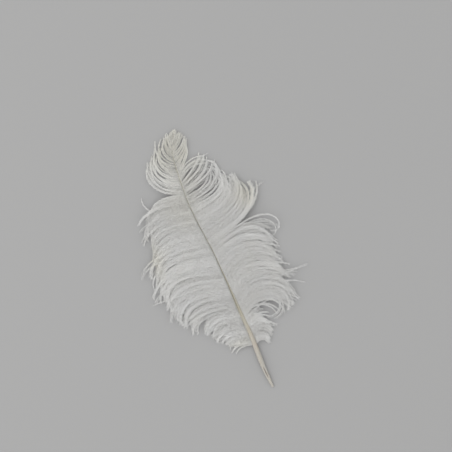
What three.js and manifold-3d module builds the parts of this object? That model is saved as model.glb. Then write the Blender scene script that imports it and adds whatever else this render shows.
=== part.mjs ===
// A white ostrich plume lying flat: a bare quill, the shaft that it narrows into, and loose barbs that stand
// out on both sides and gather in soft locks. It grew as one piece, so it is one solid.
//
// Millimetres. +Y runs along the shaft from the quill to the plume's tip, +X is to the right with the tip
// pointing away, and +Z is up. The origin is under the middle of the plume, on the surface it lies on.
// A station is a distance from the quill's end, along Y.

import * as THREE from "three";
import { mergeVertices } from "three/addons/utils/BufferGeometryUtils.js";
import Module from "manifold-3d";

const wasm = await Module();
wasm.setup();

// Driving dimensions.
const FEATHER_LENGTH = 290; // quill end to plume tip
const VANE_START = 53; // station of the lowest lock
const VANE_END = 276; // station of the topmost lock
const LOCKS_PER_SIDE = 28;
const LOCK_FILL = 0.94; // a lock's width, as a share of the room between its neighbours
const LOCK_LEAST_FILL = 0.34; // the same where the locks turn along the shaft and run close together
const LOCK_TIP_SHARE = 0.62; // a lock's width at its tip, as a share of its width at the shaft
const LOCK_HALF_THICKNESS = 1.3; // at the shaft
const LOCK_TIP_HALF_THICKNESS = 0.6;
const STRAY_WIDTH = 2.4; // of the straggling barbs' locks
const SLIT_START = 11.5; // stations of the split in the quill's upper side
const SLIT_END = 24;
const SLIT_HALF_WIDTH = 0.6;
const SLIT_DEPTH = 0.8;

// The shaft, quill end first: station, sideways offset, height of its axis, half width, half thickness.
// Between stations 5 and 44 its underside reaches just past the surface, where it is cut flat.
const SHAFT = [
  [0, 2.0, 1.0, 1.0, 0.9],
  [7, 1.3, 1.5, 1.7, 1.65],
  [20, 0.2, 2.1, 2.3, 2.35],
  [36, 0.0, 2.4, 2.65, 2.7],
  [48, 0.2, 2.5, 2.5, 2.4],
  [62, 0.1, 3.2, 2.15, 2.0],
  [86, -1.6, 4.6, 1.7, 1.6],
  [115, -3.0, 6.0, 1.3, 1.3],
  [157, -5.4, 7.0, 1.0, 1.05],
  [190, -9.6, 6.8, 0.85, 0.9],
  [212, -11.3, 6.2, 0.75, 0.8],
  [235, -10.6, 5.2, 0.65, 0.7],
  [258, -9.3, 4.2, 0.55, 0.6],
  [270, -7.2, 3.6, 0.5, 0.5],
  [280, -2.4, 3.1, 0.45, 0.45],
  [289, 3.6, 2.6, 0.4, 0.4],
];

// How the locks of each vane lie: station, length, rise (degrees from square to the shaft towards the tip),
// curl (degrees that it turns through, towards the quill if positive), lateness of the curl (an exponent).
const LEFT_VANE = [
  [53, 22, 12, 40, 1.6],
  [62, 32, 14, 60, 1.8],
  [70, 43, 15, 76, 2.0],
  [80, 51, 18, 84, 2.2],
  [92, 66, 20, 94, 2.2],
  [110, 75, 20, 98, 2.2],
  [136, 79, 18, 96, 2.3],
  [157, 78, 14, 92, 2.4],
  [172, 73, 12, 92, 2.4],
  [188, 66, 10, 88, 2.4],
  [204, 62, 10, 86, 2.6],
  [218, 58, 10, 84, 2.8],
  [220, 54, 8, 10, 1.2],
  [226, 56, 8, -100, 1.2],
  [234, 52, 6, -120, 1.2],
  [242, 44, 12, -124, 1.2],
  [250, 37, 24, -118, 1.2],
  [258, 30, 40, -106, 1.1],
  [267, 22, 58, -90, 1.0],
  [276, 14, 80, -70, 1.0],
];
const RIGHT_VANE = [
  [53, 17, 22, 130, 1.0],
  [60, 35, 62, 150, 1.0],
  [68, 41, 68, 158, 1.0],
  [78, 58, 66, 150, 1.0],
  [89, 72, 62, 143, 1.0],
  [101, 79, 56, 130, 1.0],
  [115, 79, 48, 115, 1.1],
  [131, 79, 38, 105, 1.2],
  [147, 77, 30, 90, 1.4],
  [161, 73, 22, 68, 1.6],
  [168, 80, 14, -60, 3.0],
  [176, 78, 12, -84, 2.8],
  [186, 73, 10, -90, 2.6],
  [196, 68, 8, -94, 2.2],
  [205, 65, 6, -116, 1.8],
  [212, 57, 8, -104, 1.5],
  [220, 48, 20, -64, 1.3],
  [228, 43, 38, 8, 1.0],
  [235, 38, 52, 66, 1.2],
  [242, 32, 40, -50, 1.1],
  [250, 31, 28, -50, 1.0],
  [258, 30, 22, -34, 1.0],
  [267, 24, 28, -24, 1.0],
  [276, 18, 38, -15, 1.0],
];

// Straggling barbs that stand clear of the others, each a thin lock: side, then the same five values.
const STRAYS = [
  [1, 162, 108, 16, 225, 3.5],
  [1, 104, 94, 44, 66, 1.6],
  [1, 98, 94, 50, 84, 1.5],
  [-1, 122, 80, 8, 14, 2.0],
  [-1, 163, 78, 8, 78, 4.0],
];

// How high a lock arches, and how high its tip stays above the surface: four kinds, taken in turn.
const ARCH_HEIGHTS = [3.2, 5.6, 4.2, 6.6];
const TIP_HEIGHTS = [0.5, 1.4, 0.5, 2.2];
const FULL_ARCH_LENGTH = 60; // a shorter lock arches less

const LOCK_SIDES = 5;
const LOCK_STEPS = 7;
const LINE_STEPS = 60;
const SHAFT_SIDES = 10;
const SHAFT_STEPS = 34;
const SLIT_SIDES = 4;
const SLIT_STEPS = 6;

const DEGREE = Math.PI / 180;
const UP = new THREE.Vector3(0, 0, 1);

/** The values of a table at a station, between the rows on either side of it. */
function rowAt(table, station) {
  let i = 0;
  while (i < table.length - 2 && table[i + 1][0] < station) i++;
  const share = THREE.MathUtils.clamp((station - table[i][0]) / (table[i + 1][0] - table[i][0]), 0, 1);
  return table[i].map((value, k) => THREE.MathUtils.lerp(value, table[i + 1][k], share));
}

/** Where the shaft's axis is at a station, and how wide and thick the shaft is there. */
function shaftAt(station) {
  const [, offset, height, halfWidth, halfThickness] = rowAt(SHAFT, station);
  return { point: new THREE.Vector3(offset, station - FEATHER_LENGTH / 2, height), halfWidth, halfThickness };
}

/** A closed bar with a flat underside: place(share, across, above) says where each corner goes. */
function shapedBar(sides, steps, place) {
  const turn = sides % 2 ? 0 : Math.PI / sides;
  const bar = new THREE.CylinderGeometry(1, 1, 1, sides, steps, false, turn);
  const corners = bar.getAttribute("position");
  for (let i = 0; i < corners.count; i++) {
    const corner = place(corners.getY(i) + 0.5, corners.getX(i), corners.getZ(i));
    corners.setXYZ(i, corner.x, corner.y, corner.z);
  }
  return bar;
}

/** The quill and shaft, whose width and thickness follow the table. */
function shaftGeometry() {
  const end = SHAFT.at(-1)[0];
  return shapedBar(SHAFT_SIDES, SHAFT_STEPS, (share, across, above) => {
    const { point, halfWidth, halfThickness } = shaftAt(share * end);
    return point.add(new THREE.Vector3(across * halfWidth, 0, above * halfThickness));
  });
}

/** The split in the quill's upper side: a spindle that is centred on the quill's skin. */
function slitGeometry() {
  return shapedBar(SLIT_SIDES, SLIT_STEPS, (share, across, above) => {
    const { point, halfThickness } = shaftAt(THREE.MathUtils.lerp(SLIT_START, SLIT_END, share));
    const open = 0.2 + 0.8 * Math.sin(Math.PI * share);
    point.z += halfThickness;
    return point.add(new THREE.Vector3(across * SLIT_HALF_WIDTH * open, 0, above * SLIT_DEPTH));
  });
}

/** A lock's middle line, from the shaft outwards: its heading is rise - curl * share ** lateness. */
function lockLine(side, [station, length, rise, curl, lateness], arch, tipHeight) {
  const { point } = shaftAt(station);
  const rootHeight = point.z;
  const line = [point.clone()];
  for (let i = 1; i <= LINE_STEPS; i++) {
    const heading = (rise - curl * ((i - 0.5) / LINE_STEPS) ** lateness) * DEGREE;
    point.x += (side * Math.cos(heading) * length) / LINE_STEPS;
    point.y += (Math.sin(heading) * length) / LINE_STEPS;
    const share = i / LINE_STEPS;
    const lift = 4 * share * (1 - share) * (1 - 0.4 * share);
    point.z = THREE.MathUtils.lerp(rootHeight, tipHeight, share) + arch * lift;
    line.push(point.clone());
  }
  return new THREE.CatmullRomCurve3(line);
}

/** A lock: a flat bar along its line, as wide as the room that its neighbours leave it. */
function lockGeometry(line, widthAt) {
  return shapedBar(LOCK_SIDES, LOCK_STEPS, (share, across, above) => {
    const centre = line.getPoint(share);
    const along = line.getTangent(share);
    const aside = along.clone().cross(UP).normalize();
    const halfWidth = widthAt(share, Math.abs(aside.y)) / 2;
    const halfThickness = THREE.MathUtils.lerp(LOCK_HALF_THICKNESS, LOCK_TIP_HALF_THICKNESS, share);
    return centre.addScaledVector(aside, across * halfWidth).addScaledVector(UP, above * halfThickness);
  });
}

/** The locks of one vane, from the quill to the tip. Their kinds start at firstKind. */
function vaneGeometries(side, table, firstKind) {
  const spacing = (VANE_END - VANE_START) / (LOCKS_PER_SIDE - 1);
  const widthAt = (share, square) =>
    spacing * Math.max(LOCK_FILL * square, LOCK_LEAST_FILL) * THREE.MathUtils.lerp(1, LOCK_TIP_SHARE, share);
  return Array.from({ length: LOCKS_PER_SIDE }, (_, i) => {
    const row = rowAt(table, VANE_START + i * spacing);
    const kind = (i + firstKind) % ARCH_HEIGHTS.length;
    const arch = ARCH_HEIGHTS[kind] * Math.min(1, row[1] / FULL_ARCH_LENGTH);
    return lockGeometry(lockLine(side, row, arch, TIP_HEIGHTS[kind]), widthAt);
  });
}

/** The straggling barbs. */
function strayGeometries() {
  return STRAYS.map(([side, ...row], i) => {
    const line = lockLine(side, row, ARCH_HEIGHTS[i % ARCH_HEIGHTS.length], TIP_HEIGHTS[0]);
    return lockGeometry(line, () => STRAY_WIDTH);
  });
}

/** A closed three.js geometry as a manifold-3d solid. */
function solidOf(geometry) {
  geometry.deleteAttribute("normal");
  geometry.deleteAttribute("uv");
  const merged = mergeVertices(geometry, 1e-4);
  return new wasm.Manifold(
    new wasm.Mesh({
      numProp: 3,
      vertProperties: merged.getAttribute("position").array,
      triVerts: new Uint32Array(merged.index.array),
    }),
  );
}

/** A manifold-3d solid as a three.js geometry. */
function geometryOf(solid) {
  const { vertProperties, numProp, triVerts } = solid.getMesh();
  return new THREE.BufferGeometry()
    .setAttribute("position", new THREE.BufferAttribute(vertProperties, numProp))
    .setIndex(new THREE.BufferAttribute(triVerts, 1));
}

/** The whole plume: shaft and locks joined, the quill split, and everything cut off flat at the surface. */
function featherGeometry() {
  const locks = [
    ...vaneGeometries(-1, LEFT_VANE, 0),
    ...vaneGeometries(1, RIGHT_VANE, 2),
    ...strayGeometries(),
  ];
  let feather = solidOf(shaftGeometry());
  for (const lock of locks) feather = feather.add(solidOf(lock));
  const surface = new THREE.BoxGeometry(FEATHER_LENGTH, 2 * FEATHER_LENGTH, 20).translate(0, 0, -10);
  return geometryOf(feather.subtract(solidOf(slitGeometry())).subtract(solidOf(surface)));
}

const barbs = new THREE.MeshStandardMaterial({ color: 0xecebe4, roughness: 0.85, metalness: 0 });
const feather = new THREE.Mesh(featherGeometry(), barbs);
feather.name = "feather";

const group = new THREE.Group();
group.add(feather);

export default group;
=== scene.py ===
# %% [markdown]
# # A white ostrich plume
#
# An ostrich feather has a horny quill that narrows into a shaft, and from the shaft grow some hundreds of long,
# thin barbs. Each barb carries very many soft barbules. On most birds the barbules hook together into a firm
# vane. On an ostrich they have no hooks, so every barb hangs loose and the plume looks like fur.
#
# Blender could grow this as hair curves, but those are lost when the model is exported. So everything here is
# real mesh, worked out with numpy: first how the barbs lie, then a thin tube along each, then the barbules.

import bpy
import numpy as np
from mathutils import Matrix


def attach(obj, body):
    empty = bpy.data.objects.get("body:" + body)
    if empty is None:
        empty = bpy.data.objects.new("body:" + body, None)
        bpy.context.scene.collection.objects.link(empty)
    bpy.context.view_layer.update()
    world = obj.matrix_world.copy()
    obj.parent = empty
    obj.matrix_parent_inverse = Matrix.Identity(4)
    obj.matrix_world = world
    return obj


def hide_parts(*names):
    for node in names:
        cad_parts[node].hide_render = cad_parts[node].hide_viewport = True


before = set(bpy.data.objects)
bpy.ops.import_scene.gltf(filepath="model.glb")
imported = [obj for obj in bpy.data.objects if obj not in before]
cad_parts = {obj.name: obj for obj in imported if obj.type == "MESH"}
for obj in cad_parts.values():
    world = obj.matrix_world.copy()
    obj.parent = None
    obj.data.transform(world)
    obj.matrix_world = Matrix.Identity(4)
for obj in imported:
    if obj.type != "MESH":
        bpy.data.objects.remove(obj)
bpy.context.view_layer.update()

MM = 0.001
SEED = 295  # another seed lays every string another way, and may open a gap low on the left
rng = np.random.default_rng(SEED)

# %% [markdown]
# ## Camera
#
# The plume lies flat and the camera looks straight down on it. A long lens from far away keeps the outline
# free of perspective. The camera is turned about its own axis, so that the quill points down and to the right
# in the picture and the tip points up and to the left.

# %% Camera
PICTURE_SIDE = 452  # pixels
QUILL_PIXEL = np.array([271.5, 388.0])  # where the quill's end shows in the picture
TIP_PIXEL = np.array([172.5, 133.0])  # a place near the tip, on the feather's long axis
QUILL_TO_TIP = 286.4  # mm between these two places
FEATHER_LENGTH = 290.0  # mm, with the tuft
CAMERA_HEIGHT = 2.0  # m
SENSOR_WIDTH = 36.0  # mm

up_the_shaft = (TIP_PIXEL - QUILL_PIXEL) / np.linalg.norm(TIP_PIXEL - QUILL_PIXEL)
across_the_shaft = np.array([-up_the_shaft[1], up_the_shaft[0]])
mm_per_pixel = QUILL_TO_TIP / np.linalg.norm(TIP_PIXEL - QUILL_PIXEL)
middle = (np.array([PICTURE_SIDE, PICTURE_SIDE]) / 2 - QUILL_PIXEL) * mm_per_pixel

camera_data = bpy.data.cameras.new("camera")
camera_data.sensor_width = SENSOR_WIDTH
camera_data.lens = SENSOR_WIDTH * CAMERA_HEIGHT / (PICTURE_SIDE * mm_per_pixel * MM)
camera = bpy.data.objects.new("camera", camera_data)
bpy.context.collection.objects.link(camera)
camera.location = (
    middle @ across_the_shaft * MM,
    (middle @ up_the_shaft - FEATHER_LENGTH / 2) * MM,
    CAMERA_HEIGHT,
)
camera.rotation_euler = (0, 0, np.arctan2(up_the_shaft[0], -up_the_shaft[1]))
bpy.context.scene.camera = camera
print("one pixel is", round(mm_per_pixel, 3), "mm, lens", round(camera_data.lens, 1), "mm")

# %% [markdown]
# ## Light and floor
#
# White barbs on a grey floor are told apart only by soft shadows. One very wide lamp stands to the left of the
# picture, and an even white surrounding gives most of the light, as on a cloudy day. The floor is a plain grey,
# darker than the plume. Light finds its way into white down by bouncing from barbule to barbule, so it is
# allowed many bounces.

# %% Light and floor
LIGHT_BOUNCES = 16
KEY_PLACE = (-1.3, 0.5, 1.5)  # m
KEY_WIDTH = 2.6  # m
KEY_POWER = 14  # W
FLOOR_WIDTH = 6.0  # m

bpy.context.scene.view_settings.view_transform = "Standard"
bpy.context.scene.cycles.diffuse_bounces = LIGHT_BOUNCES
bpy.context.scene.cycles.max_bounces = LIGHT_BOUNCES


def principled(name, colour, roughness, **sockets):
    """A material with one Principled shader. Its plain values are set on the shader's own sockets."""
    material = bpy.data.materials.new(name)
    material.use_nodes = True
    shader = material.node_tree.nodes["Principled BSDF"]
    shader.inputs["Base Color"].default_value = (*colour, 1)
    shader.inputs["Roughness"].default_value = roughness
    for socket, value in sockets.items():
        shader.inputs[socket.replace("_", " ")].default_value = value
    return material, material.node_tree, shader


def add_lamp(name, place, width, power):
    """A square lamp that looks at the middle of the plume."""
    data = bpy.data.lights.new(name, "AREA")
    data.size = width
    data.energy = power
    lamp = bpy.data.objects.new(name, data)
    bpy.context.collection.objects.link(lamp)
    lamp.location = place
    lamp.rotation_euler = lamp.location.to_track_quat("Z", "Y").to_euler()


add_lamp("key_lamp", KEY_PLACE, KEY_WIDTH, KEY_POWER)

surround = bpy.data.worlds.new("surround")
surround.use_nodes = True
background = surround.node_tree.nodes["Background"]
background.inputs["Color"].default_value = (0.98, 0.98, 0.98, 1)
background.inputs["Strength"].default_value = 1.0
bpy.context.scene.world = surround

floor_mesh = bpy.data.meshes.new("floor")
edge = FLOOR_WIDTH / 2
floor_corners = [(-edge, -edge, 0), (edge, -edge, 0), (edge, edge, 0), (-edge, edge, 0)]
floor_mesh.from_pydata(floor_corners, [], [(0, 1, 2, 3)])
floor = bpy.data.objects.new("floor", floor_mesh)
bpy.context.collection.objects.link(floor)
floor_mesh.materials.append(principled("pale_floor", (0.35, 0.349, 0.348), 0.9)[0])
print("a lamp of", KEY_POWER, "W over a floor", FLOOR_WIDTH, "m wide")

# %% [markdown]
# ## Reading the plume's tables
#
# The shape is driven by rows of numbers, each for one station: a distance in mm from the quill's end. Between
# the rows a value is read along straight lines. Where the readings from nearby stations are averaged, the
# corners are rounded off.

# %% Reading a table
def read(table, station, soften=4.0):
    """Each column of a table at the stations: the mean of five readings along straight lines, which are spread
    over soften mm to either side."""
    table = np.asarray(table, float)
    station = np.asarray(station, float)
    nearby = [station + offset for offset in np.linspace(-soften, soften, 5)]
    return [np.mean([np.interp(at, table[:, 0], column) for at in nearby], axis=0) for column in table.T[1:]]


def smoothstep(low, high, value):
    """0 below low, 1 above high, and an S curve between them."""
    share = np.clip((value - low) / (high - low), 0, 1)
    return share * share * (3 - 2 * share)


# station, sideways offset, height of the axis, half width, half thickness, all in mm
SHAFT = [
    [0, 2.0, 1.0, 1.0, 0.9],
    [7, 1.3, 1.5, 1.7, 1.65],
    [20, 0.2, 2.1, 2.3, 2.35],
    [36, 0.0, 2.4, 2.65, 2.7],
    [48, 0.2, 2.5, 2.5, 2.4],
    [62, 0.1, 3.2, 2.15, 2.0],
    [86, -1.6, 4.6, 1.7, 1.6],
    [115, -3.0, 6.0, 1.3, 1.3],
    [157, -5.4, 7.0, 1.0, 1.05],
    [190, -9.6, 6.8, 0.85, 0.9],
    [212, -11.3, 6.2, 0.75, 0.8],
    [235, -10.6, 5.2, 0.65, 0.7],
    [258, -9.3, 4.2, 0.55, 0.6],
    [270, -7.2, 3.6, 0.5, 0.5],
    [280, -2.4, 3.1, 0.45, 0.45],
    [289, 3.6, 2.6, 0.4, 0.4],
]
print("the quill is", 2 * max(half_width for _, _, _, half_width, _ in SHAFT), "mm wide at its widest")

# %% [markdown]
# ## From arrays to a piece
#
# Each piece is one mesh, filled straight from arrays. Every piece also gets a UV map, which runs along the
# barbs so that a baked picture of the colour follows them too, and attributes: one number for each point, which
# the material reads to make one barb a little brighter than the next, to paint light along the barbs, or to
# paint shade into a groove.

# %% From arrays to a piece
def make_piece(name, points_mm, triangles, smooth, uv, attributes, material):
    """A mesh piece from arrays: points in mm, triangles and whether each is shaded smooth, and for each point a
    place in the map and the named attributes."""
    mesh = bpy.data.meshes.new(name)
    mesh.vertices.add(len(points_mm))
    mesh.vertices.foreach_set("co", (points_mm * MM).astype(np.float32).ravel())
    corners = triangles.astype(np.int32).ravel()
    mesh.loops.add(len(corners))
    mesh.loops.foreach_set("vertex_index", corners)
    mesh.polygons.add(len(triangles))
    mesh.polygons.foreach_set("loop_start", np.arange(0, len(corners), 3, dtype=np.int32))
    mesh.polygons.foreach_set("use_smooth", smooth)
    mesh.update(calc_edges=True)
    layer = mesh.uv_layers.new(name="OFBake")
    layer.uv.foreach_set("vector", uv[corners].astype(np.float32).ravel())
    for label, values in attributes.items():
        mesh.attributes.new(label, "FLOAT", "POINT").data.foreach_set("value", values.astype(np.float32))
    mesh.materials.append(material)
    piece = bpy.data.objects.new(name, mesh)
    bpy.context.collection.objects.link(piece)
    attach(piece, "root")
    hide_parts("feather")
    print(name, "has", len(triangles), "triangles")


def tube_triangles(rings, sides):
    """Triangles of a tube: each ring's corners join the next ring's, and the last corner joins the first."""
    ring, side = np.meshgrid(np.arange(rings - 1), np.arange(sides), indexing="ij")
    a = ring * sides + side
    b = ring * sides + (side + 1) % sides
    return np.stack([a, b, b + sides, a, b + sides, a + sides], -1).reshape(-1, 3)


# %% [markdown]
# ## The horn: quill and shaft
#
# Quill and shaft are one horn of keratin, so they are one surface: a ring of points carried along the stations
# of the table. The quill has split open a little on its upper side, and the shaft has a groove along its top.
# Both are dents in the same surface, and painted shade makes them the darkest places of the plume: each point
# remembers how deep in the groove or the split it lies, and is painted the darker the deeper it lies.

# %% Helpers for nodes
NOISE_DETAIL = 3.0


def add_node(tree, kind, inputs=(), **settings):
    """A new node with its settings. Each input is a plain value or another node's output."""
    node = tree.nodes.new(kind)
    for setting, value in settings.items():
        setattr(node, setting, value)
    for socket, value in dict(inputs).items():
        if isinstance(value, bpy.types.NodeSocket):
            tree.links.new(value, node.inputs[socket])
        else:
            node.inputs[socket].default_value = value
    return node


def blend(tree, share, first_colour, second_colour, kind="MIX"):
    """The first colour where share is 0 and the second, or its product with the first, where share is 1."""
    colours = [(*c, 1) if isinstance(c, tuple) else c for c in (first_colour, second_colour)]
    inputs = {0: share, 6: colours[0], 7: colours[1]}
    return add_node(tree, "ShaderNodeMix", inputs, data_type="RGBA", blend_type=kind).outputs[2]


def stretched_noise(tree, scale):
    """Noise on Object coordinates, with its own scale per metre along each axis."""
    place = add_node(tree, "ShaderNodeTexCoord").outputs["Object"]
    mapping = add_node(tree, "ShaderNodeMapping", {"Vector": place, "Scale": scale})
    inputs = {"Vector": mapping.outputs[0], "Scale": 1.0, "Detail": NOISE_DETAIL}
    return add_node(tree, "ShaderNodeTexNoise", inputs).outputs[0]


def mapped(tree, value, low, high, from_low=0.0, from_high=1.0):
    """A value carried from the range from_low to from_high over to the range low to high."""
    inputs = {0: value, 1: from_low, 2: from_high, 3: low, 4: high}
    return add_node(tree, "ShaderNodeMapRange", inputs).outputs[0]


def attribute(tree, name):
    """The number that the piece carries under this name."""
    return add_node(tree, "ShaderNodeAttribute", attribute_name=name).outputs["Fac"]


def ramp(tree, value, stops):
    """Colours along a value from 0 to 1: one stop for each (place, colour). The stops at 0 and 1 come first."""
    node = add_node(tree, "ShaderNodeValToRGB", {"Fac": value})
    for number, (place, colour) in enumerate(stops):
        stop = node.color_ramp.elements[number] if number < 2 else node.color_ramp.elements.new(place)
        stop.position = place
        stop.color = (*colour, 1)
    return node.outputs["Color"]


# %% Finish of the horn
# place from the quill's end (0) to the tip (1), and the colour of the keratin there, with the two ends first
HORN_COLOURS = [
    (0.0, (0.48, 0.465, 0.43)),
    (1.0, (0.54, 0.53, 0.48)),
    (0.13, (0.46, 0.445, 0.41)),
    (0.165, (0.46, 0.42, 0.37)),
    (0.21, (0.46, 0.435, 0.38)),
    (0.3, (0.44, 0.42, 0.355)),
    (0.45, (0.40, 0.385, 0.32)),
    (0.75, (0.42, 0.41, 0.34)),
]
# painted shade: the groove along the shaft and the split in the quill are painted dark, the deeper the darker
GROOVE_PAINTED_SHADE = (0.11, 0.1, 0.075)
SPLIT_PAINTED_SHADE = (0.16, 0.12, 0.095)
DENT_SHADE_COVER = 0.85  # how much of the keratin's colour the deepest groove or split hides
STREAK_SHADE = (0.7, 0.67, 0.62)  # factors of the keratin's colour
CLOUD_SHADE = (0.93, 0.88, 0.8)
STREAKS_PER_METRE = (1500, 45, 1500)
CLOUDS_PER_METRE = (160, 60, 160)

horn, horn_nodes, horn_shader = principled(
    "horn",
    (0.4, 0.37, 0.3),
    0.42,
    Specular_IOR_Level=0.35,
    Subsurface_Weight=0.5,
    Subsurface_Radius=(1.0, 0.95, 0.85),
    Subsurface_Scale=2.5 * MM,
)
horn_place = add_node(horn_nodes, "ShaderNodeTexCoord").outputs["Object"]
horn_y = add_node(horn_nodes, "ShaderNodeSeparateXYZ", {0: horn_place}).outputs["Y"]
half_length = FEATHER_LENGTH / 2 * MM
streaks = stretched_noise(horn_nodes, STREAKS_PER_METRE)
clouds = stretched_noise(horn_nodes, CLOUDS_PER_METRE)
streaked = mapped(horn_nodes, streaks, 0, 0.5, 0.35, 0.75)
clouded = mapped(horn_nodes, clouds, 0, 0.5, 0.4, 0.7)
groove_shade = mapped(horn_nodes, attribute(horn_nodes, "groove"), 0, DENT_SHADE_COVER)
split_shade = mapped(horn_nodes, attribute(horn_nodes, "split"), 0, DENT_SHADE_COVER)
keratin = ramp(horn_nodes, mapped(horn_nodes, horn_y, 0, 1, -half_length, half_length), HORN_COLOURS)
keratin = blend(horn_nodes, streaked, keratin, STREAK_SHADE, "MULTIPLY")
keratin = blend(horn_nodes, clouded, keratin, CLOUD_SHADE, "MULTIPLY")
# painted shade in the groove and in the split
keratin = blend(horn_nodes, groove_shade, keratin, GROOVE_PAINTED_SHADE)
keratin = blend(horn_nodes, split_shade, keratin, SPLIT_PAINTED_SHADE)
horn_nodes.links.new(keratin, horn_shader.inputs["Base Color"])
horn_nodes.links.new(mapped(horn_nodes, clouds, 0.34, 0.52), horn_shader.inputs["Roughness"])
grain = add_node(horn_nodes, "ShaderNodeBump", {"Height": streaks, "Strength": 0.5, "Distance": 0.1 * MM})
horn_nodes.links.new(grain.outputs[0], horn_shader.inputs["Normal"])
print("the horn's finish has", len(horn_nodes.nodes), "nodes")

# %% The horn
SHAFT_END = FEATHER_LENGTH - 1  # a tuft of barbs makes the last millimetre
HORN_RINGS = 260
HORN_SIDES = 28
END_ROUNDING = 1.6  # mm over which each end closes
GROOVE_DEPTH = 0.45  # share of the half thickness
GROOVE_TURN = 2.0  # radians from the right-hand side, so a little left of the top
GROOVE_WIDTH = 0.42  # radians to either side
GROOVE_START = (68, 105)  # stations between which it deepens
GROOVE_END = (185, 235)  # stations between which it loses half of its depth
SPLIT = (11.5, 24.0)  # stations
SPLIT_DEPTH = 0.8  # mm
SPLIT_WIDTH = 0.26  # radians to either side of the top


def groove_share(station, turn):
    """How deep in the groove a point lies, from 0 to 1: a bell curve round the ring, which fades in above the
    quill and half out again near the tip."""
    fade = smoothstep(*GROOVE_START, station) * (1 - 0.5 * smoothstep(*GROOVE_END, station))
    return fade * np.exp(-((turn - GROOVE_TURN) / GROOVE_WIDTH) ** 2)


def split_share(station, turn):
    """How deep in the split a point lies, from 0 to 1: the root of half a sine wave along the quill, times a
    bell curve with a flat top round the ring."""
    along = np.clip((station - SPLIT[0]) / (SPLIT[1] - SPLIT[0]), 0, 1)
    return np.sin(np.pi * along) ** 0.5 * np.exp(-((turn - np.pi / 2) / SPLIT_WIDTH) ** 4)


def horn_surface(station, turn):
    """Axis plus half width times cos(turn) sideways plus half thickness times sin(turn) upwards. The groove
    and the split press the top down, and both ends close as quarter circles do."""
    offset, height, half_width, half_thickness = read(SHAFT, station)
    from_end = np.clip(np.minimum(station, SHAFT_END - station) / END_ROUNDING, 0, 1)
    close = np.sqrt(1 - (1 - from_end) ** 2)
    groove = GROOVE_DEPTH * half_thickness * groove_share(station, turn)
    split = SPLIT_DEPTH * split_share(station, turn)
    x = offset + half_width * close * np.cos(turn)
    y = station - FEATHER_LENGTH / 2
    z = height + half_thickness * close * np.sin(turn) - (groove + split) * close
    return np.stack(np.broadcast_arrays(x, y, np.maximum(z, 0)), -1)


horn_station = np.linspace(0, SHAFT_END, HORN_RINGS + 2)[1:-1, None]
horn_turn = np.linspace(0, 2 * np.pi, HORN_SIDES, endpoint=False)[None, :]
horn_points = horn_surface(horn_station, horn_turn).reshape(-1, 3)
horn_ends = horn_surface(np.array([0.0, SHAFT_END]), np.zeros(2))
quill_end, shaft_end = len(horn_points), len(horn_points) + 1
ring_side = np.arange(HORN_SIDES)
next_side = (ring_side + 1) % HORN_SIDES
final_ring = (HORN_RINGS - 1) * HORN_SIDES
horn_triangles = np.concatenate([
    tube_triangles(HORN_RINGS, HORN_SIDES)[:, ::-1],
    np.stack([ring_side, next_side, np.full(HORN_SIDES, quill_end)], -1),
    np.stack([final_ring + next_side, final_ring + ring_side, np.full(HORN_SIDES, shaft_end)], -1),
])
horn_uv = np.stack(np.broadcast_arrays(horn_station / FEATHER_LENGTH, np.abs(horn_turn / np.pi - 1)), -1)
horn_uv = np.concatenate([horn_uv.reshape(-1, 2), [[0, 0.5], [1, 0.5]]])
# how deep each point lies in the groove and in the split; the finish paints shade there from these
horn_attributes = {
    "groove": np.append(groove_share(horn_station, horn_turn).ravel(), [0, 0]),
    "split": np.append(split_share(horn_station, horn_turn).ravel(), [0, 0]),
}
make_piece(
    "shaft",
    np.concatenate([horn_points, horn_ends]),
    horn_triangles,
    np.ones(len(horn_triangles), bool),
    horn_uv,
    horn_attributes,
    horn,
)

# %% [markdown]
# ## How the barbs lie
#
# A barb leaves the shaft at its own rise, runs out nearly straight, and curls over towards its end, because it
# is long and thin. Low on the plume the barbs curl back towards the quill. Near the tip most of them curl
# forwards. The rows give this for some stations on either side, and every barb reads its own values between
# them. Where two rows lie a fraction of a millimetre apart, the vane parts: the barbs below and above the
# parting differ in length, in curl or in both.
#
# Some barbs stray from their vane. They have rows of their own.

# %% How the barbs of the vanes lie
# station, length (mm), rise from square to the shaft (degrees), curl (degrees), lateness of the curl
LEFT_VANE = [
    [53, 22, 20, 24, 1.6],
    [62, 29, 18, 56, 1.8],
    [70, 37, 17, 76, 2.0],
    [80, 42, 17, 84, 2.2],
    [88.9, 48, 19, 90, 2.2],
    [89.1, 60, 20, 92, 2.2],
    [110, 71, 20, 98, 2.2],
    [136, 78, 18, 96, 2.3],
    [157, 76, 14, 92, 2.4],
    [172, 69, 12, 94, 2.5],
    [188, 62, 10, 92, 2.6],
    [204, 59, 11, 94, 2.8],
    [213, 57, 11, 84, 2.8],
    [221.9, 44, 12, 70, 2.8],
    [222.1, 54, 12, -96, 1.5],
    [228, 53, 8, -108, 1.2],
    [235, 48, 8, -118, 1.1],
    [242, 42, 14, -122, 1.1],
    [250, 36, 24, -118, 1.1],
    [258, 30, 38, -104, 1.1],
    [267, 22, 54, -86, 1.0],
    [276, 12, 76, -66, 1.0],
    [288, 2, 90, -40, 1.0],
]
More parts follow.
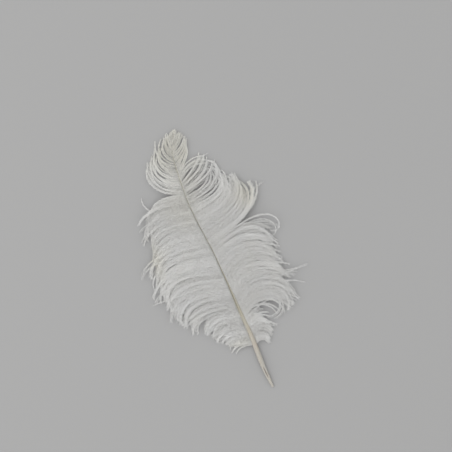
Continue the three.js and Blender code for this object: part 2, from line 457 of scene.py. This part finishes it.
RIGHT_VANE = [
    [53, 17, 30, 110, 1.0],
    [60, 28, 58, 140, 1.0],
    [68, 27, 62, 150, 1.0],
    [76.9, 22, 60, 140, 1.0],
    [77.1, 64, 58, 134, 1.0],
    [83, 72, 60, 140, 1.0],
    [89, 76, 62, 143, 1.0],
    [101, 77, 56, 130, 1.0],
    [115, 72, 48, 115, 1.1],
    [131, 72, 38, 105, 1.2],
    [147, 72, 30, 90, 1.4],
    [164.9, 68, 19, 66, 1.9],
    [165.1, 86, 13, -112, 3.2],
    [176, 78, 12, -118, 3.1],
    [186, 69, 10, -116, 3.0],
    [196, 63, 8, -110, 3.0],
    [205, 60, 6, -125, 3.0],
    [212, 61, 5, -150, 3.0],
    [219.9, 63, 6, -165, 3.0],
    [220.1, 47, 13, -58, 2.6],
    [228, 41, 18, -50, 2.0],
    [234.9, 36, 26, -40, 1.6],
    [235.1, 39, 48, 78, 1.2],
    [241.9, 34, 50, 66, 1.2],
    [242.1, 33, 44, -48, 3.0],
    [250, 31, 38, -48, 2.8],
    [258, 28, 31, -46, 2.5],
    [267, 22, 30, -38, 2.0],
    [276, 13, 40, -20, 1.5],
    [288, 2, 60, 0, 1.0],
]

# %% How the strays lie
# side (-1 left, 1 right), then the same five values, then how many barbs
STRAYS = [
    # the loop on the right, and the barbs that come out below it
    [1, 162, 106, 16, 290, 4.8, 2],
    [1, 158, 99, 21, 235, 4.0, 1],
    [1, 155, 86, 22, 80, 2.2, 2],
    [1, 150, 80, 24, 96, 2.4, 2],
    # the spikes on the right, where the plume is widest
    [1, 90, 88, 46, 50, 0.5, 2],
    [1, 94, 80, 50, 60, 0.6, 2],
    [1, 92, 80, 58, 80, 0.7, 2],
    [1, 88, 82, 56, 90, 0.7, 2],
    # a straight wisp above the notch on the right
    [1, 184, 84, 11, -4, 1.0, 2],
    # the swirl over the hole low on the right
    [1, 84, 86, 50, 250, 1.6, 3],
    [1, 84, 80, 52, 225, 1.5, 3],
    [1, 80, 62, 56, 150, 1.1, 4],
    # barbs that fill the vane between the shaft and that hole
    [1, 78, 24, 52, 60, 1.2, 5],
    [1, 76, 22, 50, 70, 1.2, 5],
    [1, 75, 44, 40, 50, 1.2, 2],
    [1, 77, 46, 60, 140, 1.0, 3],
    [1, 79, 50, 58, 134, 1.0, 3],
    [1, 75, 24, 72, 90, 1.2, 5],
    [1, 71, 26, 66, 90, 1.2, 5],
    [1, 67, 29, 58, 90, 1.2, 5],
    # the ragged lock below it
    [1, 58, 28, 34, 70, 1.2, 3],
    [1, 64, 29, 50, 100, 1.1, 3],
    [1, 69, 27, 50, 100, 1.1, 3],
    [1, 73, 25, 80, 130, 1.0, 4],
    # wisps that pass the outline on the left
    [-1, 122, 82, 4, 10, 2.0, 3],
    [-1, 126, 84, 14, 60, 4.0, 3],
    [-1, 168, 84, 4, 60, 4.0, 3],
    [-1, 160, 86, 6, 64, 5.0, 2],
    [-1, 150, 84, 12, 120, 4.0, 3],
    [-1, 196, 66, 23, -80, 4.0, 2],
    [-1, 200, 64, 12, 40, 3.0, 3],
    [-1, 190, 68, 12, 120, 3.0, 3],
    [-1, 178, 74, 10, 130, 3.0, 3],
    # the last down above the bare quill
    [-1, 51, 21, 8, 50, 2.0, 3],
    [-1, 53, 26, 8, 50, 2.0, 3],
    [-1, 56, 28, 14, 80, 2.4, 3],
    [1, 50, 13, 22, 50, 1.0, 3],
    [1, 53, 17, 34, 90, 1.0, 3],
    # strings that curl forwards on the right, below the tip
    [1, 211, 50, 12, -100, 3.5, 4],
    [1, 215, 48, 12, -104, 3.2, 4],
    [1, 218, 44, 12, -92, 3.0, 4],
    [1, 223, 44, 16, -46, 3.5, 6],
    [1, 226, 42, 18, -52, 3.0, 6],
    [1, 230, 40, 24, -36, 2.5, 5],
    [1, 233, 38, 32, -10, 2.0, 4],
    # the upper edge of the notch on the right
    [1, 166, 92, 13, -128, 3.0, 4],
    # the tuft at the tip
    [-1, 266, 22, 62, -40, 1.0, 3],
    [-1, 270, 17, 88, 8, 1.0, 3],
    [1, 268, 22, 44, 12, 1.0, 3],
    [-1, 272, 15, 62, -50, 1.0, 3],
    [-1, 279, 8, 80, -20, 1.0, 3],
    [1, 262, 25, 22, -30, 1.2, 2],
    [1, 266, 22, 52, 30, 1.2, 3],
    [1, 272, 15, 20, -30, 1.2, 3],
    [1, 276, 12, 66, 60, 1.0, 3],
    [1, 278, 9, 36, 10, 1.0, 3],
]
print(len(LEFT_VANE), "rows on the left,", len(RIGHT_VANE), "on the right and", len(STRAYS), "rows of strays")

# %% [markdown]
# ## The line of a barb
#
# A barb's line is like the way of a walker who turns a little with every step. So it is worked out as a heading
# for each step, and the steps are added up. Its height is worked out apart: it arches up from the shaft and
# comes down again towards the floor.

# %% The line of a barb
LINE_POINTS = 22
FLICK_RANGE = (0.5, 1.1)  # shares of the length between which a barb's end flicks aside
ARCH_HEIGHT = 3.8  # mm
FULL_ARCH_LENGTH = 60.0  # mm: shorter barbs arch less
ARCH_LEAN = 0.4  # how much lower the arch is towards the barb's end
ROOTS_ON_TOP = (70, 150)  # stations between which the roots move from the shaft's sides onto its top
ROOT_SHARE = 0.8  # of the shaft's half width or half thickness, from the axis to the roots
ROOT_INWARD = 0.55  # share of the half width by which the roots on top lie further in
SWAY_WIDTH = (1, 5)  # degrees, at the least and at the most
SWAY_WAVES = (0.8, 2.4)  # waves along the barb

along_barb = np.linspace(0, 1, LINE_POINTS)


def barb_lines(side, station, length, rise, curl, lateness, flick, arch, tip_height, sway):
    """Middle lines, one row of points for each barb. The heading is rise - curl * share ** lateness, plus a
    flick near the end and a slow sway. The height goes evenly from the root's to the tip's, plus arch times a
    hump."""
    side = np.broadcast_to(side, station.shape)[:, None]
    share = (along_barb[1:] + along_barb[:-1]) / 2
    waves = sway[:, :1] * np.sin(2 * np.pi * (share * sway[:, 1:2] + sway[:, 2:3])) * share
    heading = rise[:, None] - curl[:, None] * share ** lateness[:, None]
    heading = np.radians(heading + flick[:, None] * smoothstep(*FLICK_RANGE, share) + waves)
    step = length[:, None] / len(share)
    out = np.cumsum(np.cos(heading) * step, axis=1)
    forth = np.cumsum(np.sin(heading) * step, axis=1)
    out, forth = (np.pad(part, ((0, 0), (1, 0))) for part in (out, forth))
    offset, height, half_width, half_thickness = read(SHAFT, station)
    on_top = smoothstep(*ROOTS_ON_TOP, station)
    root_height = height + half_thickness * ROOT_SHARE * on_top
    hump = 4 * along_barb * (1 - along_barb) * (1 - ARCH_LEAN * along_barb)
    x = offset[:, None] + side * (out + (half_width * (ROOT_SHARE - ROOT_INWARD * on_top))[:, None])
    y = (station - FEATHER_LENGTH / 2)[:, None] + forth
    z = root_height[:, None] + (tip_height - root_height)[:, None] * along_barb + arch[:, None] * hump
    return np.stack([x, y, z], -1)


def full_arch(length):
    """The height of the arch: a share of the full one on a short barb."""
    return ARCH_HEIGHT * np.minimum(1, length / FULL_ARCH_LENGTH)


def roll_sway(count):
    """One row for each barb: how wide it sways (degrees), in how many waves, and where in a wave it starts."""
    return np.stack([rng.uniform(*SWAY_WIDTH, count), rng.uniform(*SWAY_WAVES, count), rng.random(count)], -1)


# %% [markdown]
# ## Locks and strings
#
# Barbs cling to their neighbours. Two or three make a string, and about nine a lock. So chance doesn't move
# each barb alone: some of it is shared by a lock and most of it by a string, and the barbs of a group are then
# pulled towards the line in their middle. Low on the plume they lie calm, and near the tip the strings stand
# alone. Where a value differs between the two, it is given as a pair.

# %% Locks and strings
STATION_CHANCE = 0.3  # mm to either side


def between(pair, stringy):
    """The pair's first value where barbs lie calm, its second where they are strings, and evenly between."""
    return pair[0] + (pair[1] - pair[0]) * stringy


def groups_of(count, size):
    """Neighbours in groups of about the given size: each barb adds a chance share of a group to a running sum,
    and a new group starts at every whole number."""
    return np.floor(np.cumsum(rng.uniform(0.5, 1.5, count) / size)).astype(int)


def parted(group, station, table):
    """The groups, cut in two where two rows of the table lie side by side, since the vane parts there."""
    row_station = np.array(table)[:, 0]
    parting = row_station[:-1][np.diff(row_station) < 1]
    return np.unique(group + len(group) * np.searchsorted(parting, station), return_inverse=True)[1]


def roll(spreads, group):
    """For each named spread, a number from a bell curve that wide: the same for all barbs of a group."""
    numbers = rng.normal(size=(group.max() + 1, len(spreads)))[group]
    return dict(zip(spreads, (numbers * list(spreads.values())).T))


def gather(lines, group, strength, start, end):
    """Pulls the barbs of a group towards the group's mean line. The pull grows from nothing at the share of the
    length that start gives to its full strength at the share that end gives."""
    strength, start, end = (np.broadcast_to(value, len(lines))[:, None] for value in (strength, start, end))
    total = np.zeros((group.max() + 1, *lines.shape[1:]))
    np.add.at(total, group, lines)
    mean = total / np.bincount(group)[:, None, None]
    pull = strength * smoothstep(start, end, along_barb)
    return lines + pull[..., None] * (mean[group] - lines)


def spaced_stations(density):
    """Stations so close together that each mm of shaft has as many barbs as the rows of the table say."""
    fine = np.linspace(density[0][0], density[-1][0], 2000)
    grown = np.cumsum(np.interp(fine, *np.transpose(density))) * (fine[1] - fine[0])
    station = np.interp(np.arange(0.5, grown[-1]), grown, fine)
    return station + rng.uniform(-STATION_CHANCE, STATION_CHANCE, len(station))


# %% A layer of barbs
LOCK_SIZE = 9.0  # barbs
# how widely chance spreads: length and curl as shares, rise and flick in degrees, arch in mm
LOCK_SPREADS = {"length": 0.02, "rise": 0.4, "curl": 0.02, "arch": 0.4}
STRING_SPREADS = {"length": 0.05, "rise": 2.2, "curl": 0.045, "flick": 24, "arch": 0.7}
BARB_SPREADS = {"length": 0.02, "curl": 0.02, "flick": 12, "arch": 0.15}
CALM_SHORTER = 0.06  # share by which a barb without unrest is shorter than the table says
TIP_HEIGHT = (0.4, 1.8)  # mm over the floor, at the least and at the most
RESTLESS_TIP = 1.6  # mm more at the most, on restless barbs
TONE_BY_STRING = 0.4
TONE_BY_BARB = 0.15
LOCK_PULL = 0.2  # at the most
LOCK_PULL_RANGE = (0.3, 1)  # shares of the length between which the pull of a lock grows
STRING_PULL_START = 0.1  # share of the length
# pairs: where the barbs lie calm, and where they are strings
LOOSENESS = (0.45, 0.8)  # share of the strings' spreads in rise and arch
FLICK_SHARE = (1, 0.4)
ARCH_SHARE = (1, -0.5)  # below 0 a barb sags
LEAST_ARCH = (0.3, -2.3)  # mm
TIP_HEIGHT_SHARE = (1, 0.7)
# painted highlight: added to the tone of stringy barbs, so the strings near the tip are painted brighter
STRING_PAINTED_HIGHLIGHT = (0, 0.3)
STRING_PULL = (0.5, 0.82)
STRING_PULL_END = (0.9, 0.45)  # share of the length


def lay_barbs(side, table, station, stringy, string_size, restless, lift):
    """The lines, lengths and tones of one layer of barbs. They are gathered into strings, from near the shaft
    on where the plume is stringy and only towards their ends where it is calm."""
    count = len(station)
    length, rise, curl, lateness = read(table, station, soften=0)
    lock = parted(groups_of(count, LOCK_SIZE), station, table)
    string = parted(groups_of(count, string_size), station, table)
    by_lock = roll(LOCK_SPREADS, lock)
    by_string = roll(STRING_SPREADS, string)
    by_barb = roll(BARB_SPREADS, np.arange(count))
    loose = restless * between(LOOSENESS, stringy)
    length *= 1 - CALM_SHORTER * (1 - restless) + by_lock["length"] + restless * by_string["length"]
    length *= 1 + by_barb["length"]
    rise += by_lock["rise"] + loose * by_string["rise"]
    curl *= 1 + by_lock["curl"] + restless * by_string["curl"] + by_barb["curl"]
    flick = restless * (by_string["flick"] + by_barb["flick"]) * between(FLICK_SHARE, stringy)
    arch = full_arch(length) * between(ARCH_SHARE, stringy) + lift
    arch += by_lock["arch"] + loose * by_string["arch"] + by_barb["arch"]
    arch = np.maximum(arch, between(LEAST_ARCH, stringy))
    tip_height = rng.uniform(TIP_HEIGHT[0], TIP_HEIGHT[1] + RESTLESS_TIP * restless, string.max() + 1)[string]
    tip_height *= between(TIP_HEIGHT_SHARE, stringy)
    tone = TONE_BY_STRING * rng.random(string.max() + 1)[string] + TONE_BY_BARB * rng.random(count)
    # the strings near the tip get a painted highlight
    tone += between(STRING_PAINTED_HIGHLIGHT, stringy)
    sway = roll_sway(count)
    lines = barb_lines(side, station, length, rise, curl, lateness, flick, arch, tip_height, sway)
    string_pull = between(STRING_PULL, stringy)
    lines = gather(lines, string, string_pull, STRING_PULL_START, between(STRING_PULL_END, stringy))
    lock_pull = rng.uniform(0, LOCK_PULL, lock.max() + 1)[lock] * (1 - stringy)
    return gather(lines, lock, lock_pull, *LOCK_PULL_RANGE), length, tone


# %% The strays
STRAY_STATION = 1.2  # mm, the width of a bell curve
STRAY_RISE = 2  # degrees, the same
STRAY_FLICK = 8  # degrees, the same
STRAY_LENGTH = (0.9, 1.02)  # shares of the row's value, at the least and at the most
STRAY_CURL = (0.93, 1.07)  # the same
STRAY_TIP_HEIGHT = (0.5, 2.5)  # mm
STRAY_TONE = (0.1, 0.6)
STRAY_PULL = 0.75
STRAY_PULL_RANGE = (0, 0.4)  # shares of the length
LOOP_LENGTH = 95.0  # mm: longer strays make the loop
LOOP_LIFT = 0.6  # mm added to their arch
STRAY_LIFT = -0.5  # mm added to the others' arch


def lay_strays():
    """The lines, lengths and tones of the strays: the barbs of a row differ a little and lie close together."""
    rows = np.array(STRAYS, float)
    stray = np.repeat(np.arange(len(rows)), rows[:, 6].astype(int))
    count = len(stray)
    side, station, length, rise, curl, lateness, _ = rows[stray].T
    station = station + rng.normal(0, STRAY_STATION, count)
    length = length * rng.uniform(*STRAY_LENGTH, count)
    rise = rise + rng.normal(0, STRAY_RISE, count)
    curl = curl * rng.uniform(*STRAY_CURL, count)
    arch = full_arch(length) + np.where(length > LOOP_LENGTH, LOOP_LIFT, STRAY_LIFT)
    tip_height = rng.uniform(*STRAY_TIP_HEIGHT, count)
    sway = roll_sway(count)
    flick = rng.normal(0, STRAY_FLICK, count)
    lines = barb_lines(side, station, length, rise, curl, lateness, flick, arch, tip_height, sway)
    lines = gather(lines, stray, STRAY_PULL, *STRAY_PULL_RANGE)
    return lines, length, rng.uniform(*STRAY_TONE, count)


# %% [markdown]
# ## A barb's stem and its barbules
#
# The stem of a barb is far thinner than a millimetre, so three sides are enough for its tube. A barbule is
# thinner still: it has one point on the stem, two side by side at its bend and one at its free end, four
# triangles in all. Long barbules that stand off make the soft middle of the plume. Shorter ones that lie closer
# to the stem make the separate strings near its tip.

# %% Stems
STEM_SIDES = 3
STEM_RADIUS = (0.2, 0.07)  # mm, at the shaft and at the barb's end


def directions(lines):
    """Unit directions along each line, level and square to it, and upwards and square to both."""
    along = np.gradient(lines, axis=1)
    along /= np.linalg.norm(along, axis=-1, keepdims=True)
    sideways = np.stack([along[..., 1], -along[..., 0], 0 * along[..., 0]], -1)
    sideways /= np.linalg.norm(sideways, axis=-1, keepdims=True)
    return along, sideways, np.cross(sideways, along)


def stem_mesh(lines):
    """A three-sided tube along every line, closed by one triangle at each end: its points, its triangles, and
    for each point the share of the length and the number of its barb."""
    count = len(lines)
    _, sideways, above = directions(lines)
    radius = np.linspace(*STEM_RADIUS, LINE_POINTS)[None, :, None, None]
    turn = (np.arange(STEM_SIDES) * 2 * np.pi / STEM_SIDES + np.pi / 2)[None, None, :, None]
    ring = radius * (np.cos(turn) * sideways[:, :, None] + np.sin(turn) * above[:, :, None])
    points = (lines[:, :, None] + ring).reshape(-1, 3)
    last_ring = (LINE_POINTS - 1) * STEM_SIDES
    caps = np.array([[0, 1, 2], [last_ring + 2, last_ring + 1, last_ring]])
    one_stem = np.concatenate([tube_triangles(LINE_POINTS, STEM_SIDES)[:, ::-1], caps])
    triangles = (one_stem + (np.arange(count) * LINE_POINTS * STEM_SIDES)[:, None, None]).reshape(-1, 3)
    share = np.broadcast_to(along_barb[None, :, None], (count, LINE_POINTS, STEM_SIDES)).ravel()
    owner = np.repeat(np.arange(count), LINE_POINTS * STEM_SIDES)
    return points, triangles, share, owner


# %% Barbules
LEAST_BARBULES = 4  # to a barb
BARBULE_POINTS = 4
BARBULE_HALF_WIDTH = 0.1  # mm
BARBULE_SIZES = (0.65, 1.3)  # shares of the given length
BARBULE_SHARE = (1, 0.78)  # of that length, on a calm barb and on a stringy one
BARBULE_LEAN = (39, 27)  # degrees from the stem, on a calm barb and on a stringy one
LEAN_SPREAD = 8  # degrees, the width of a bell curve
LEAST_LEAN = 0.15  # radians
TILT_SPREAD = 0.5  # radians out of the vane's plane
ROOT_SHORTER = 0.3  # share by which barbules are shorter beside the shaft
ROOT_RANGE = (0, 0.15)  # shares of the barb's length between which they grow to their full length
TIP_SHORTER = 0.35  # share by which they are shorter at the barb's end
TIP_RANGE = (0.7, 1)  # shares of the barb's length between which they get shorter again


def barbule_mesh(lines, length, stringy, gap, barbule_length):
    """Barbules on every line, one for each gap of its length, left and right in turn. A barbule leaves its stem
    at an angle, and at its bend turns half of the way back towards the stem's direction. Gives the same four
    arrays as stem_mesh."""
    per_barb = np.maximum(LEAST_BARBULES, (length / gap).astype(int))
    owner = np.repeat(np.arange(len(lines)), per_barb)
    number = np.arange(len(owner)) - np.repeat(np.cumsum(per_barb) - per_barb, per_barb)
    count = len(owner)
    share = (number + rng.uniform(0.1, 0.9, count)) / per_barb[owner]
    place = share * (LINE_POINTS - 1)
    low = np.minimum(place.astype(int), LINE_POINTS - 2)
    part = (place - low)[:, None]
    along, sideways, above = (
        axes[owner, low] * (1 - part) + axes[owner, low + 1] * part for axes in directions(lines)
    )
    root = lines[owner, low] * (1 - part) + lines[owner, low + 1] * part
    stringy = stringy[owner]
    side = np.where(number % 2 == 0, 1, -1)
    lean = np.maximum(np.radians(rng.normal(between(BARBULE_LEAN, stringy), LEAN_SPREAD)), LEAST_LEAN)
    tilt = rng.normal(0, TILT_SPREAD, count)
    size = rng.uniform(*BARBULE_SIZES, count) * barbule_length * between(BARBULE_SHARE, stringy)
    size *= 1 - ROOT_SHORTER + ROOT_SHORTER * smoothstep(*ROOT_RANGE, share)
    size *= 1 - TIP_SHORTER * smoothstep(*TIP_RANGE, share)
    aside = side[:, None] * np.cos(tilt)[:, None] * sideways + np.sin(tilt)[:, None] * above
    first_half = np.cos(lean)[:, None] * along + np.sin(lean)[:, None] * aside
    second_half = np.cos(lean * 0.5)[:, None] * along + np.sin(lean * 0.5)[:, None] * aside
    bend = root + first_half * (size * 0.5)[:, None]
    tip = bend + second_half * (size * 0.5)[:, None]
    width = BARBULE_HALF_WIDTH * np.cross(along, aside)
    points = np.stack([root, bend + width, bend - width, tip], 1)
    one_barbule = np.array([[0, 1, 2], [0, 2, 3], [2, 1, 3], [0, 3, 1]])
    triangles = (one_barbule + (np.arange(count) * BARBULE_POINTS)[:, None, None]).reshape(-1, 3)
    share, owner = np.repeat(share, BARBULE_POINTS), np.repeat(owner, BARBULE_POINTS)
    return points.reshape(-1, 3), triangles, share, owner


# %% [markdown]
# ## The finish of the barbs
#
# Barbs are white, but not one white: each string is a little brighter or greyer than the next, some places have
# yellowed to cream, and there are faint clouds. Light is painted into the tone too: each barb is painted darker
# by the shaft and brighter towards its end, and the strings near the tip get a painted highlight. The tone and
# the yellowing are attributes of the mesh.

# %% Finish of the barbs
BARB_WHITE = (0.84, 0.84, 0.835)
BARB_CREAM = (0.85, 0.84, 0.79)
# the darkest barb colour, where the tone is 0: it makes some barbs greyer at random and is painted shade at the
# roots
BARB_SHADE = (0.735, 0.73, 0.72)  # factors of the colour where the tone is 0
BARB_CLOUDS_PER_METRE = (55, 55, 55)

barb_white, barb_nodes, barb_shader = principled("barb_white", BARB_WHITE, 0.7, Specular_IOR_Level=0.25)
barb_clouds = stretched_noise(barb_nodes, BARB_CLOUDS_PER_METRE)
yellowing = add_node(barb_nodes, "ShaderNodeMath", {
    0: attribute(barb_nodes, "cream"),
    1: mapped(barb_nodes, barb_clouds, 0, 0.25, 0.4, 0.8),
}, operation="ADD", use_clamp=True).outputs[0]
barb_colour = blend(barb_nodes, yellowing, BARB_WHITE, BARB_CREAM)
# how far each point goes towards that darkest colour: random dullness, painted shade by the shaft, less where
# light is painted
dullness_and_shade = mapped(barb_nodes, attribute(barb_nodes, "tone"), 1, 0)
barb_colour = blend(barb_nodes, dullness_and_shade, barb_colour, BARB_SHADE, "MULTIPLY")
barb_nodes.links.new(barb_colour, barb_shader.inputs["Base Color"])
barb_nodes.links.new(mapped(barb_nodes, barb_clouds, 0.6, 0.8), barb_shader.inputs["Roughness"])
print("the barbs' finish has", len(barb_nodes.nodes), "nodes")

# %% [markdown]
# ## The vanes
#
# Each vane has two layers. Below lies a bed of close, calm barbs with long barbules, which hides the floor. On
# it lie fewer, restless barbs, whose ends stray from the outline. Towards the tip the bed thins out, and little
# more than the strings is left. Each layer is cut into pieces of a size that exporters handle well.

# %% From barbs to a piece
LEAST_HEIGHT = 0.12  # mm over the floor
# painted light: a barb is painted darker at its root by the shaft and brighter towards its end
END_PAINTED_LIGHT = 0.42  # added to the tone from a barb's root to its end
MAP_MARGIN = 0.01  # left free at both ends of the map
STRIP_SHARE = 0.3  # how far the points spread to either side in their barb's strip of the map
STRIP_SKEW = 0.003  # how far the same spread moves them along the strip
# x, y and two half widths of each yellowed place, in mm, and how yellow it is
CREAM_PLACES = [
    [-66, 25, 9, 20, 0.8],
    [49, 55, 12, 18, 1.0],
    [-12, -90, 16, 6, 0.5],
    [-16, 70, 22, 24, 0.5],
    [-8, 125, 26, 28, 1.0],
]


def make_barbs(name, lines, length, tone, stringy, gap, barbule_length):
    """One piece from the stems and barbules of its barbs. In the map, every barb has a strip of its own and its
    length runs along the strip. A place is yellow as a hill of the bell curve's form round its middle."""
    stem_points, stem_triangles, stem_share, stem_owner = stem_mesh(lines)
    points, triangles, share, owner = barbule_mesh(lines, length, stringy, gap, barbule_length)
    smooth = np.repeat([True, False], [len(stem_triangles), len(triangles)])
    points = np.concatenate([stem_points, points])
    triangles = np.concatenate([stem_triangles, triangles + len(stem_points)])
    share = np.concatenate([stem_share, share])
    owner = np.concatenate([stem_owner, owner])
    points[:, 2] = np.maximum(points[:, 2], LEAST_HEIGHT)
    spread = rng.uniform(-STRIP_SHARE, STRIP_SHARE, len(points))
    along_strip = MAP_MARGIN + (1 - 2 * MAP_MARGIN) * share + STRIP_SKEW * spread
    uv = np.stack([along_strip, (owner + 0.5 + spread) / len(lines)], -1)
    cream = sum(
        strength * np.exp(-((points[:, 0] - x) / half_x) ** 2 - ((points[:, 1] - y) / half_y) ** 2)
        for x, y, half_x, half_y, strength in CREAM_PLACES
    )
    # each barb's random tone, plus painted light that grows from its root to its end
    attributes = {"tone": tone[owner] + END_PAINTED_LIGHT * share, "cream": cream}
    make_piece(name, points, triangles, smooth, uv, attributes, barb_white)


# %% The vanes
VANE_CUTS = (50, 125, 290)  # stations where one piece ends and the next begins
STRINGS_FROM = {"left": (218, 227), "right": (193, 212)}  # stations between which the plume turns stringy

for side, side_name, table in ((-1, "left", LEFT_VANE), (1, "right", RIGHT_VANE)):
    low, high = STRINGS_FROM[side_name]
    # station and barbs to the mm
    bed_density = [[50, 1.1], [low, 1.1], [high, 0.6], [242, 0.45], [250, 0.2], [287, 0.1]]
    strings_density = [[50, 0.75], [low, 0.75], [high, 1.2], [242, 1.2], [250, 0.8], [287, 0.8]]
    # barbs to a string, unrest, lift of the arch, mm of stem to a barbule, length of a barbule
    layers = (
        ("bed", bed_density, 2.6, 0.3, -0.9, 0.27, 3.4),
        ("strings", strings_density, 2.4, 1.0, 0.1, 0.215, 2.5),
    )
    for layer_name, density, string_size, restless, lift, gap, barbule_length in layers:
        station = spaced_stations(density)
        stringy = smoothstep(low, high, station)
        lines, length, tone = lay_barbs(side, table, station, stringy, string_size, restless, lift)
        for number, (start, end) in enumerate(zip(VANE_CUTS[:-1], VANE_CUTS[1:]), 1):
            chosen = (station >= start) & (station < end)
            make_barbs(
                f"{side_name}_{layer_name}_{number}",
                lines[chosen],
                length[chosen],
                tone[chosen],
                stringy[chosen],
                gap,
                barbule_length,
            )

lines, length, tone = lay_strays()
make_barbs("strays", lines, length, tone, stringy=np.full(len(lines), 0.7), gap=0.24, barbule_length=2.2)
